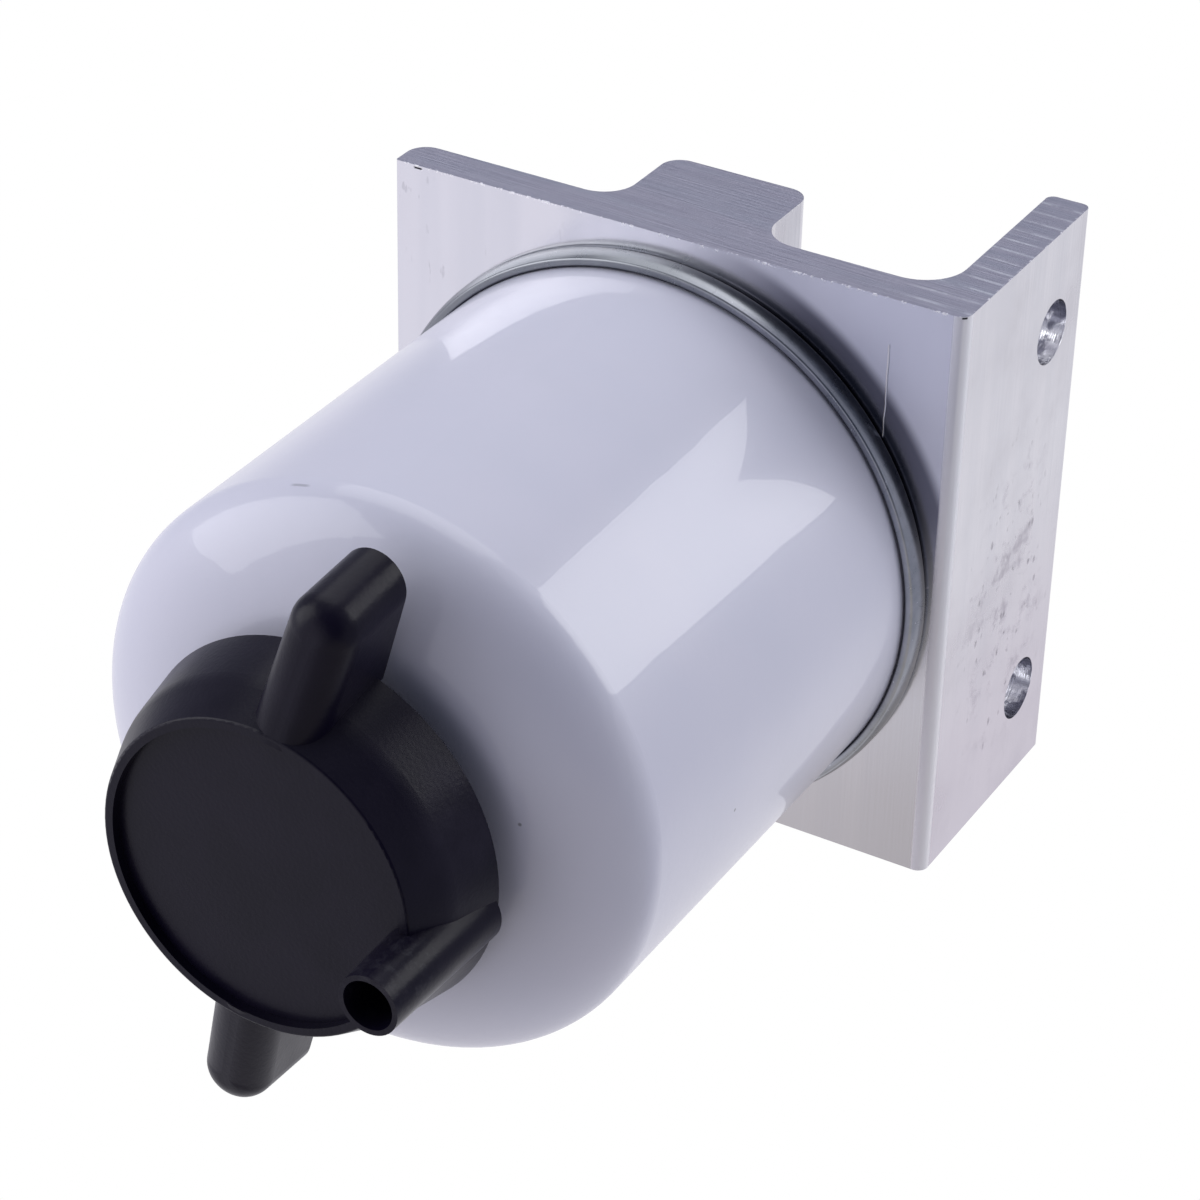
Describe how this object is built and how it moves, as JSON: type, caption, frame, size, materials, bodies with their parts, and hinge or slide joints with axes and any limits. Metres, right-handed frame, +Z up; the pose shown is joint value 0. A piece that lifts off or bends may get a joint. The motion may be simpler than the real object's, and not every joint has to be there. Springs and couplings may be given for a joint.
{
  "type": "fuel filter with mounting head",
  "caption": "Spin-on fuel filter with a white can and a black drain knob, hanging from an extruded aluminium mounting head with a bolt flange.",
  "frame": {"origin": "midway between the two bolt holes, on the flange's outer face", "axes": "+Y out of the flange's outer face, +Z up in use (from the can towards the head), +X along the head's extrusion"},
  "size_m": [0.0865, 0.0859, 0.1427],
  "materials": {
    "head_metal": "satin",
    "stud_metal": "satin",
    "can_paint": "glossy",
    "bare_steel": "satin",
    "seal_rubber": "matte",
    "filter_paper": "matte",
    "knob_plastic": "satin"
  },
  "bodies": {
    "head": {"mounting_head": "head_metal", "filter_stud": "stud_metal"},
    "gasket": {"head_gasket": "seal_rubber"},
    "filter": {"seaming_lid": "bare_steel", "base_plate": "bare_steel", "canister_shell": "can_paint", "stud_seal": "seal_rubber", "upper_end_cap": "bare_steel", "pleated_media": "filter_paper", "centre_tube": "bare_steel", "lower_end_cap": "bare_steel", "element_spring": "bare_steel", "drain_bush": "bare_steel"},
    "drain_seals": {"seat_seal": "seal_rubber", "drain_o_ring": "seal_rubber"},
    "knob": {"drain_knob": "knob_plastic"}
  },
  "joints": [
    {"name": "filter_drop", "type": "slide", "parent": "head", "child": "gasket", "axis": [0, 0, -1], "range_m": [0, 0.0105]},
    {"name": "filter_spin", "type": "hinge", "parent": "gasket", "child": "filter", "pos_m": [-0.00185, -0.0444, -0.06], "axis": [0, 0, -1], "range_deg": [0, 2520]},
    {"name": "drain_drop", "type": "slide", "parent": "filter", "child": "drain_seals", "axis": [0, 0, -1], "range_m": [0, 0.00225]},
    {"name": "drain_turn", "type": "hinge", "parent": "drain_seals", "child": "knob", "pos_m": [-0.00185, -0.0444, -0.115], "axis": [0, 0, -1], "range_deg": [0, 540]}
  ],
  "couplings": [
    {"joint": "filter_drop", "follows": "filter_spin", "m_per_rad": 0.00023873},
    {"joint": "drain_drop", "follows": "drain_turn", "m_per_rad": 0.00023873}
  ]
}
